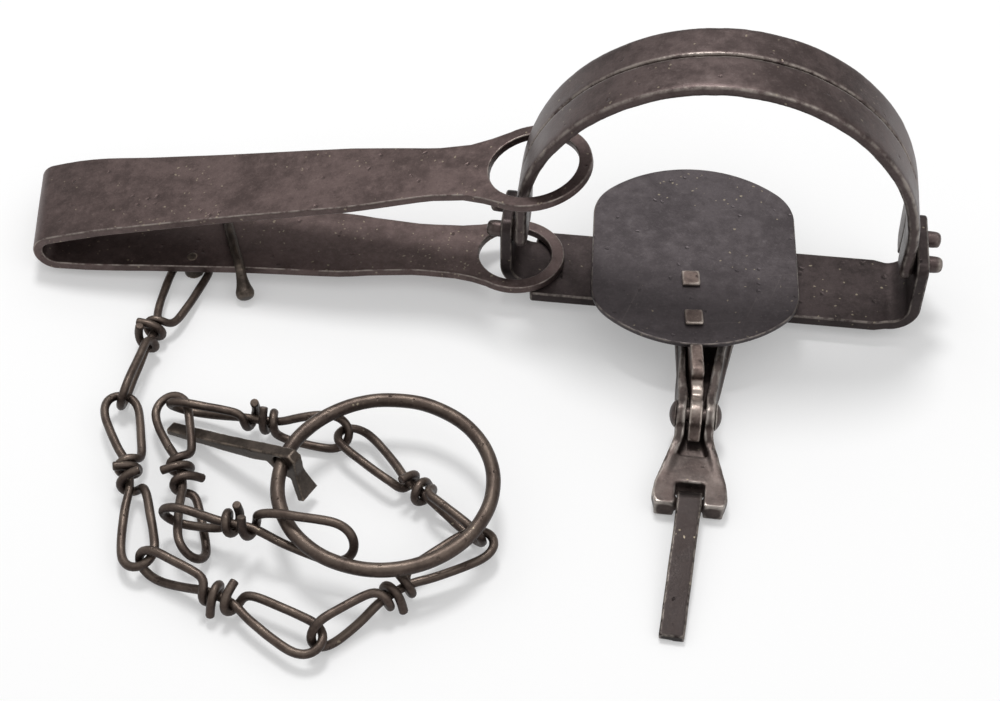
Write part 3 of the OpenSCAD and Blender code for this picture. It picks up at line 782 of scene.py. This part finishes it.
def fold_rows():
    middle = SPRING_LINE["fold"]
    first = LOWER_FALL - math.pi / 2
    last = FOLD_RISE - 1.5 * math.pi
    rows = []
    for k in range(FOLD_STEPS + 1):
        angle = first + (last - first) * k / FOLD_STEPS
        x = middle[0] + FOLD_R * math.cos(angle)
        rows.append(straight_row(x, FOLD_HALF, FOLD_SKEW, middle[1] + FOLD_R * math.sin(angle)))
    return rows


def strip_rows():
    rows = [laid_on(row, lower_z) for row in eye_rows(LOWER_EYE)]
    rows += leaf_rows(neck_x(LOWER_EYE), SPRING_LINE["lower_end"][0], LOWER_EYE, lower_z)
    rows += fold_rows()
    rows += leaf_rows(SPRING_LINE["bow_start"][0], neck_x(UPPER_EYE), UPPER_EYE, upper_z)
    return rows + [laid_on(row, upper_z) for row in reversed(eye_rows(UPPER_EYE))]


def close_eye(bm, eye, inner, outer, height):
    before = set(bm.verts)
    for vert in (inner, outer):
        vert.co.z = 0
    edge = bm.edges.get((inner, outer))
    bmesh.ops.spin(
        bm,
        geom=[inner, outer, edge],
        cent=mm(eye["x"], 0, 0),
        axis=UP,
        angle=-2 * EYE_JOIN,
        steps=EYE_STEPS,
        use_duplicate=False,
    )
    for vert in [inner, outer] + [v for v in bm.verts if v not in before]:
        vert.co.z = height((vert.co.x + FOLD_SKEW * vert.co.y) / MM) * MM


# The strip is drawn out thinner towards its eyes
def thin_towards_eyes(bm):
    bm.normal_update()
    for vert in bm.verts:
        share = share_of(vert.co.x / MM, -FOLD_X, FOLD_X + UPPER_EYE["x"])
        vert.co -= vert.normal * (SPRING_T - EYE_T) / 2 * share * MM


# Draws the strip from row to row, and gives the points of each row
def draw_strip(bm, rows):
    verts = [bm.verts.new(mm(*place)) for place in rows[0]]
    for a, b in zip(verts, verts[1:]):
        bm.edges.new((a, b))
    lines = [verts]
    for row in rows[1:]:
        edges = [bm.edges.get(pair) for pair in zip(lines[-1], lines[-1][1:])]
        partner = {vert.co.copy().freeze(): vert for vert in draw_on(bm, edges)[0]}
        fresh = [partner[vert.co.copy().freeze()] for vert in lines[-1]]
        for vert, place in zip(fresh, row):
            vert.co = mm(*place)
        lines.append(fresh)
    return lines


def make_spring():
    bm = bmesh.new()
    lines = draw_strip(bm, strip_rows())
    close_eye(bm, LOWER_EYE, lines[0][0], lines[1][0], lower_z)
    close_eye(bm, UPPER_EYE, lines[-1][0], lines[-2][0], upper_z)
    bmesh.ops.remove_doubles(bm, verts=bm.verts, dist=SEAM_MERGE)
    bmesh.ops.recalc_face_normals(bm, faces=bm.faces)
    bm.normal_update()
    for vert in bm.verts:
        vert.co -= vert.normal * SPRING_T * MM / 2
    bmesh.ops.solidify(bm, geom=bm.faces[:], thickness=-SPRING_T * MM)
    bmesh.ops.recalc_face_normals(bm, faces=bm.faces)
    thin_towards_eyes(bm)
    round_edges(bm, SPRING_EDGE)
    uneven(bm, *SPRING_WAVES)
    spring = show("spring_strip", bm, "spring", "spring_steel", None, "lower_leaf", "upper_leaf")
    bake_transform(spring)


# Pan: a round plate with two flat sides and rounded corners
def arc_points(centre, radius, first, last, steps):
    angles = [first + (last - first) * k / steps for k in range(steps + 1)]
    return [(centre[0] + radius * math.cos(a), centre[1] + radius * math.sin(a)) for a in angles]


def pan_outline():
    side = PAN_HALF - PAN_CORNER
    reach = math.sqrt((PAN_R - PAN_CORNER) ** 2 - side**2)
    join = math.atan2(reach, side)
    quarter = arc_points((side, reach), PAN_CORNER, 0, join, PAN_CORNER_STEPS)[:-1]
    quarter += arc_points((0, 0), PAN_R, join, math.pi / 2, PAN_ARC_STEPS)
    half = quarter + [(-x, y) for x, y in reversed(quarter[:-1])]
    return half + [(-x, -y) for x, y in half]


def make_pan():
    bm = bmesh.new()
    outline = [bm.verts.new(mm(PAN_X + x, y, PAN_TOP - PAN_T)) for x, y in pan_outline()]
    face = bm.faces.new(outline)
    bmesh.ops.rotate(bm, verts=outline, cent=mm(PAN_X, 0, 0), matrix=Matrix.Rotation(PAN_YAW, 3, "Z"))
    thicken(bm, face, mm(0, 0, PAN_T))
    bmesh.ops.recalc_face_normals(bm, faces=bm.faces)
    round_edges(bm, PAN_EDGE)
    show("pan_disc", bm, "pan", "pan_steel", "pan", "pan_plate")


# Wire links: a wound start, two loops with the wire's core between them, a wound end
def side_of(u):
    return UP.cross(u).normalized()


def across(u, roll):
    return side_of(u) * math.cos(roll) + u.cross(side_of(u)) * math.sin(roll)


def above(u, roll):
    return u.cross(side_of(u)) * math.cos(roll) - side_of(u) * math.sin(roll)


def winding(middle, along, out, up, turns, way):
    steps = round(turns * KNOT_STEPS)
    first = 2 * math.pi * turns * way

    def at(t):
        angle = first * (1 - t)
        rise = along * (KNOT_PITCH / 2 + KNOT_PITCH * turns * t)
        return middle + rise + KNOT_R * (out * math.cos(angle) + up * math.sin(angle))

    back = (up * math.cos(first) - out * math.sin(first)) * way
    return [at(0) + back * WIRE_TAIL] + [at(k / steps) for k in range(steps + 1)]


def loop(middle, tip, out, half, turns, over):
    along = (tip - middle).normalized()
    far = (tip - middle).length + over
    near = KNOT_PITCH / 2 + KNOT_PITCH * turns
    straight_end = far - half - LOOP_STRAIGHT
    points = [(near + LEAVE_RUN, LEAVE_SHARE * half), (straight_end, half)]
    for k in range(LOOP_STEPS + 1):
        angle = math.radians(90 - 180 * k / LOOP_STEPS)
        points.append((far - half + half * math.cos(angle), half * math.sin(angle)))
    points += [(straight_end, -half), (near + RETURN_RUN, -RETURN_SHARE * half), (near + CORE_RUN, 0)]
    return [middle + along * forward + out * sideways for forward, sideways in points]


def cut_corners(points):
    cut = [points[0]]
    for a, b in zip(points, points[1:]):
        cut += [a * (1 - CUT) + b * CUT, a * CUT + b * (1 - CUT)]
    return cut + [points[-1]]


def link_route(start, knot, end, rolls, reaches, halves):
    u = (end - start).normalized()
    ua = (knot - start).normalized()
    ub = (end - knot).normalized()
    ra, rb = (math.radians(roll) for roll in rolls)
    first = winding(knot, -u, across(u, ra), above(u, ra), TURNS_A, 1)
    first += loop(knot, start, across(ua, ra), halves[0], TURNS_A, reaches[0])
    last = winding(knot, u, across(u, rb), above(u, rb), TURNS_B, -1)
    last += loop(knot, end, across(ub, rb), halves[1], TURNS_B, reaches[1])
    route = first + last[::-1]
    for _ in range(CUT_ROUNDS):
        route = cut_corners(route)
    return route


def spaced(route, gap):
    kept = [route[0]]
    for point in route[1:-1]:
        if (point - kept[-1]).length >= gap:
            kept.append(point)
    return kept + [route[-1]]


# Wire springs into easy curves: each place moves towards the middle of its neighbours
def eased(route, rounds):
    for _ in range(rounds):
        middles = [(a + c) * ((1 - EASE) / 2) + b * EASE for a, b, c in zip(route, route[1:], route[2:])]
        route = [route[0]] + middles + [route[-1]]
    return route


# Places along a route, turned with it and without twist
def places_along(route):
    places = []
    out = FIRST_OUT
    for k, point in enumerate(route):
        ahead = (route[min(k + 1, len(route) - 1)] - route[max(k - 1, 0)]).normalized()
        out = (out - ahead * out.dot(ahead)).normalized()
        turn = Matrix((out, ahead.cross(out), ahead)).transposed().to_4x4()
        places.append(Matrix.Translation(point * MM) @ turn)
    return places


def drawn_bar(places, radius):
    bm = bmesh.new()
    bmesh.ops.create_circle(bm, cap_ends=True, segments=WIRE_SIDES, radius=radius * MM, matrix=places[0])
    edges = bm.edges[:]
    here = places[0]
    for place in places[1:]:
        verts, edges = draw_on(bm, edges)
        bmesh.ops.transform(bm, matrix=place @ here.inverted(), verts=verts)
        here = place
    bmesh.ops.edgeloop_fill(bm, edges=edges)
    bmesh.ops.recalc_face_normals(bm, faces=bm.faces)
    return bm


def make_wire(name, node, body, route):
    bm = drawn_bar(places_along(eased(spaced(route, WIRE_GAP), EASE_ROUNDS)), WIRE_R)
    ends = [e for e in bm.edges if e.calc_face_angle(0) > END_ANGLE]
    bevel(bm, ends, END_ROUND, END_STEPS)
    uneven(bm, *WIRE_WAVES)
    show(name, bm, "wire", "wire_steel", body, node)


# Chain: each link has a start, a knot, an end, and the rolls in degrees, reaches and half widths of its loops
def make_chain():
    stud = Vector((-139, -6.6, 1.35))
    hang_12 = Vector((-145, -62, 5.6))
    hang_23 = Vector((-128.5, -108, 5.4))
    hang_34 = Vector((-84, -126, 5.4))
    hang_45 = Vector((-49, -93.5, 5.4))
    hang_56 = Vector((-86, -65, 5))
    hang_67 = Vector((-132, -62, 7))
    end_7 = Vector((-116, -105, 5))
    hang_78 = Vector((-123.5, -97, 8.4))
    hang_ring = Vector((-79, -104, RING_Z + RING_LIFT))
    knot_1 = Vector((-143.5, -37.6, 4.4))
    knot_8 = Vector((-105, -100, RING_Z - KNOT_DROP))
    both = (LOOP_HALF, LOOP_HALF)
    links = [
        (stud, knot_1, hang_12, (0, 75), (REACH, STEEP), (STUD_HALF, LOOP_HALF)),
        (hang_12, None, hang_23, (-10, 15), (FLAT_REACH, FLAT_REACH), both),
        (hang_23, None, hang_34, (75, 10), (STEEP, FLAT_REACH), both),
        (hang_34, None, hang_45, (75, 0), (STEEP, FLAT_REACH), both),
        (hang_45, None, hang_56, (75, 15), (STEEP, FLAT_REACH), both),
        (hang_56, None, hang_67, (-50, 65), (STEEP, STEEP), both),
        (hang_67, None, end_7, (15, -45), (FLAT_REACH, REACH), both),
        (hang_78, knot_8, hang_ring, (-80, 65), (REACH, REACH), (LOOP_HALF, RING_HALF)),
    ]
    for number, (start, knot, end, rolls, reaches, halves) in enumerate(links, 1):
        route = link_route(start, knot or (start + end) / 2, end, rolls, reaches, halves)
        name = f"link_{number}"
        make_wire(f"wire_{name}", name, name, route)


def make_ring():
    bm = bmesh.new()
    upright = Matrix.Rotation(math.pi / 2, 4, "X")
    place = Matrix.Translation(mm(RING_C[0] + RING_R, RING_C[1], RING_C[2])) @ upright
    bmesh.ops.create_circle(bm, cap_ends=False, segments=RING_SIDES, radius=RING_WIRE * MM, matrix=place)
    bmesh.ops.spin(
        bm,
        geom=bm.verts[:] + bm.edges[:],
        cent=mm(*RING_C),
        axis=UP,
        angle=2 * math.pi,
        steps=RING_STEPS,
        use_merge=True,
        use_duplicate=False,
    )
    bmesh.ops.remove_doubles(bm, verts=bm.verts, dist=MERGE)
    bmesh.ops.recalc_face_normals(bm, faces=bm.faces)
    uneven(bm, *RING_WAVES)
    show("round_ring", bm, "wire", "wire_steel", "ring", "anchor_ring")


# Forged pieces: the drawn shape on a fine even mesh, relaxed until its edges are worn round
def forged(bm, grain, rounds, worn_rounds=0, worn=None):
    drawn = bpy.data.meshes.new("drawn")
    bm.to_mesh(drawn)
    bm.free()
    blank = bpy.data.objects.new("blank", drawn)
    bpy.context.scene.collection.objects.link(blank)
    mesher = blank.modifiers.new("even_mesh", "REMESH")
    mesher.mode = "VOXEL"
    mesher.voxel_size = grain * MM
    bpy.context.view_layer.update()
    bm = bmesh.new()
    bm.from_object(blank, bpy.context.evaluated_depsgraph_get())
    bpy.data.objects.remove(blank)
    bpy.data.meshes.remove(drawn)
    relax(bm, bm.verts[:], rounds)
    mark_ridges(bm, grain)
    if worn:
        relax(bm, [v for v in bm.verts if worn(v.co / MM)], worn_rounds)
    return bm


def relax(bm, verts, rounds):
    ways = {"use_axis_x": True, "use_axis_y": True, "use_axis_z": True}
    for _ in range(rounds):
        bmesh.ops.smooth_vert(bm, verts=verts, factor=RELAX, **ways)


# Marks the ridges, where a piece is rubbed: each point that stands out from its neighbours
def mark_ridges(bm, grain):
    bm.normal_update()
    bm.verts.index_update()
    places = np.array([vert.co for vert in bm.verts])
    normals = np.array([vert.normal for vert in bm.verts])
    ends = np.array([[vert.index for vert in edge.verts] for edge in bm.edges])
    shares = np.bincount(ends.ravel(), minlength=len(places))[:, None]

    def around(values):
        total = np.zeros_like(values)
        np.add.at(total, ends[:, 0], values[ends[:, 1]])
        np.add.at(total, ends[:, 1], values[ends[:, 0]])
        return total / shares

    stands_out = ((places - around(places)) * normals).sum(axis=1, keepdims=True) / (grain * MM)
    for _ in range(RIDGE_ROUNDS):
        stands_out = (stands_out + around(stands_out)) / 2
    marks = np.clip((stands_out - RIDGE_LOW) / (RIDGE_HIGH - RIDGE_LOW), 0.0, 1.0)
    worn = bm.verts.layers.float.new("worn_edge")
    for vert, mark in zip(bm.verts, marks):
        vert[worn] = mark[0]


def make_forged_pieces():
    for node, material, slot, body, grain, rounds in FORGED:
        bm = forged(cad_copy(node), grain, rounds)
        uneven(bm, *FORGED_WAVES)
        show(f"{node}_forged", bm, material, slot, body, node)


# Jaws: the free edges are worn round, the edges at the seam stay crisp
def make_jaws():
    def at_free_edge(point):
        return abs(point.y) > SEAM_CRISP

    for node, body in (("front_jaw", "jaw_front"), ("back_jaw", "jaw_back")):
        bm = forged(cad_copy(node), JAW_GRAIN, JAW_ROUNDS, JAW_WORN_ROUNDS, at_free_edge)
        if node == "front_jaw":
            widen_crown(bm)
        uneven(bm, *FORGED_WAVES)
        show(f"{node}_forged", bm, "jaw", "trap_steel", body, node)


# The front jaw is a little wider at its crown than at its legs
def widen_crown(bm):
    for vert in bm.verts:
        vert.co.y *= 1 + CROWN_GAIN * share_of(vert.co.z / MM, CROWN_Z, CROWN_RUN)


# Cross-arm: its notch ends in a ramp behind the dog's hinge
def make_arm():
    bm = cad_copy("cross_arm")
    near = [bm.verts.new(mm(RAMP_X, y, z)) for y, z in RAMP_SIDE]
    far = thicken(bm, bm.faces.new(near), mm(RAMP_W, 0, 0))
    ramp_faces = list(dict.fromkeys(face for vert in near + far for face in vert.link_faces))
    bmesh.ops.recalc_face_normals(bm, faces=ramp_faces)
    bm = forged(bm, ARM_GRAIN, ARM_ROUNDS)
    tuck_cheek(bm)
    uneven(bm, *FORGED_WAVES)
    show("cross_arm_forged", bm, "trigger", "trap_steel", "frame", "cross_arm")


def tuck_cheek(bm):
    for vert in bm.verts:
        x, y = (vert.co / MM).xy
        if x < CHEEK_X and y < CHEEK_BACK:
            tucked = CHEEK_TUCK * share_of(y, CHEEK_NECK, CHEEK_RUN)
            vert.co.x = (CHEEK_X + (x - CHEEK_X) * (1 - tucked)) * MM


# Anchor strap: a bar that tapers to its tip, rolled round the ring, with a flared tail
def strap_outline():
    hole = []
    for k in range(STRAP_HOLE_STEPS + 1):
        angle = math.radians(STRAP_HOLE_FROM + STRAP_HOLE_SWEEP * k / STRAP_HOLE_STEPS)
        hole.append((STRAP_HOLE * math.cos(angle), STRAP_HOLE * math.sin(angle)))
    return STRAP_OVER + STRAP_UNDER + hole + STRAP_BAR


def make_strap():
    bm = bmesh.new()
    outline = [bm.verts.new(mm(x, -STRAP_W / 2, z)) for x, z in strap_outline()]
    thicken(bm, bm.faces.new(outline), mm(0, STRAP_W, 0))
    for vert in bm.verts:
        if vert.co.x < 0 and vert.co.z < STRAP_TAIL_Z * MM:
            vert.co.y *= STRAP_FLARE
    bmesh.ops.triangulate(bm, faces=bm.faces[:])
    bmesh.ops.recalc_face_normals(bm, faces=bm.faces)
    turn = Matrix.Translation(mm(*STRAP_AT)) @ Matrix.Rotation(STRAP_TURN, 4, "Z")
    bmesh.ops.transform(bm, matrix=turn, verts=bm.verts)
    bm = forged(bm, STRAP_GRAIN, STRAP_ROUNDS)
    uneven(bm, *FORGED_WAVES)
    show("strap_bar", bm, "clip", "wire_steel", "strap", "anchor_strap")


# Chain clip: a round-backed bar bent round the lower leaf, with a thick foot
def make_clip():
    turn = Matrix.Translation(mm(*CLIP_AT)) @ Matrix.Rotation(CLIP_TURN, 4, "Z")
    points = cut_corners(cut_corners([Vector((y, z, radius)) for (y, z), radius in CLIP_ROUTE]))
    places = []
    for place, point in zip(places_along([Vector((0, p.x, p.y)) for p in points]), points):
        places.append(turn @ place @ Matrix.Diagonal((point.z, point.z, 1, 1)))
    bm = forged(drawn_bar(places, radius=1.0), CLIP_GRAIN, CLIP_ROUNDS)
    uneven(bm, *CLIP_WAVES)
    show("clip_bar", bm, "clip", "wire_steel", "frame", "chain_clip")


# Base plate: a bent strip with rounded edges, whose pin bores and rivet holes stay as they are
def make_base():
    def at_bore(point):
        return abs(point.x) > UPRIGHT_X and math.hypot(abs(point.y) - PIN_Y, point.z - PIN_Z) < PIN_ROOM

    def at_rivet(point):
        return math.hypot(abs(point.x - RIVET_X) - RIVET_OUT, point.y - RIVET_Y) < PIN_ROOM

    bm = cad_copy("base_plate")
    round_edges(bm, BASE_EDGE, lambda point: at_bore(point) or at_rivet(point))
    show("base_strip", bm, "base", "trap_steel", "frame", "base_plate")


# Floor, lamps and camera
def make_floor():
    bm = bmesh.new()
    bmesh.ops.create_grid(bm, x_segments=1, y_segments=1, size=FLOOR_HALF)
    mesh = bpy.data.meshes.new("floor")
    bm.to_mesh(mesh)
    bm.free()
    floor = bpy.data.objects.new("floor", mesh)
    bpy.context.scene.collection.objects.link(floor)
    mesh.materials.append(floor_white())
    return floor


# White floor: part of what the camera and the metal see of it is plain white, the rest keeps the shadow
def floor_white():
    material = bpy.data.materials.new("floor_white")
    material.use_nodes = True
    tree = material.node_tree
    shader = tree.nodes["Principled BSDF"]
    shader.inputs["Base Color"].default_value = colour(FLOOR_TINT, FLOOR_TINT, FLOOR_TINT)
    shader.inputs["Roughness"].default_value = FLOOR_ROUGH
    shader.inputs["Specular IOR Level"].default_value = 0.0
    rays = add(tree, "ShaderNodeLightPath").outputs
    seen = sums(tree, "MAXIMUM", rays["Is Camera Ray"], rays["Is Glossy Ray"])
    seen = sums(tree, "MAXIMUM", seen, rays["Is Transmission Ray"])
    share = sums(tree, "MULTIPLY", seen, FLOOR_WHITE)
    white = add(tree, "ShaderNodeEmission", {"Color": WHITE, "Strength": 1.0})
    mixed = add(tree, "ShaderNodeMixShader", {0: share, 1: shader.outputs[0], 2: white.outputs[0]})
    tree.links.new(mixed.outputs[0], tree.nodes["Material Output"].inputs["Surface"])
    return material


def make_lamp(name, at, size, power):
    data = bpy.data.lights.new(name, "AREA")
    data.shape = "DISK"
    data.size = size
    data.energy = power
    lamp = bpy.data.objects.new(name, data)
    lamp.location = at
    lamp.rotation_euler = (mm(*CAMERA_TO) - Vector(at)).to_track_quat("-Z", "Y").to_euler()
    bpy.context.scene.collection.objects.link(lamp)
    return lamp


# Light from above: bright overhead and dim towards the horizon
def make_sky():
    world = bpy.data.worlds.new("studio")
    world.use_nodes = True
    tree = world.node_tree
    back = tree.nodes["Background"]
    back.inputs["Color"].default_value = WHITE
    way = add(tree, "ShaderNodeTexCoord").outputs["Generated"]
    height = add(tree, "ShaderNodeSeparateXYZ", {0: way}).outputs["Z"]
    tree.links.new(span(tree, height, SKY_LOW, SKY_HIGH, SKY_DIM, SKY_BRIGHT), back.inputs["Strength"])
    bpy.context.scene.world = world


def make_camera():
    data = bpy.data.cameras.new("photo_camera")
    data.lens = LENS
    data.sensor_width = SENSOR
    data.clip_start = NEAREST * MM
    camera = bpy.data.objects.new("photo_camera", data)
    camera.location = mm(*CAMERA_AT)
    aim = mm(*CAMERA_TO) - mm(*CAMERA_AT)
    camera.rotation_euler = aim.to_track_quat("-Z", "Y").to_euler()
    bpy.context.scene.collection.objects.link(camera)
    bpy.context.scene.camera = camera


make_spring()
make_pan()
make_chain()
make_ring()
make_base()
make_jaws()
make_arm()
make_strap()
make_clip()
make_forged_pieces()
floor = make_floor()
key = make_lamp("key_lamp", KEY_AT, KEY_SIZE, KEY_POWER)
fill = make_lamp("fill_lamp", FILL_AT, FILL_SIZE, FILL_POWER)
make_sky()
make_camera()
bpy.context.scene.view_settings.view_transform = "Standard"
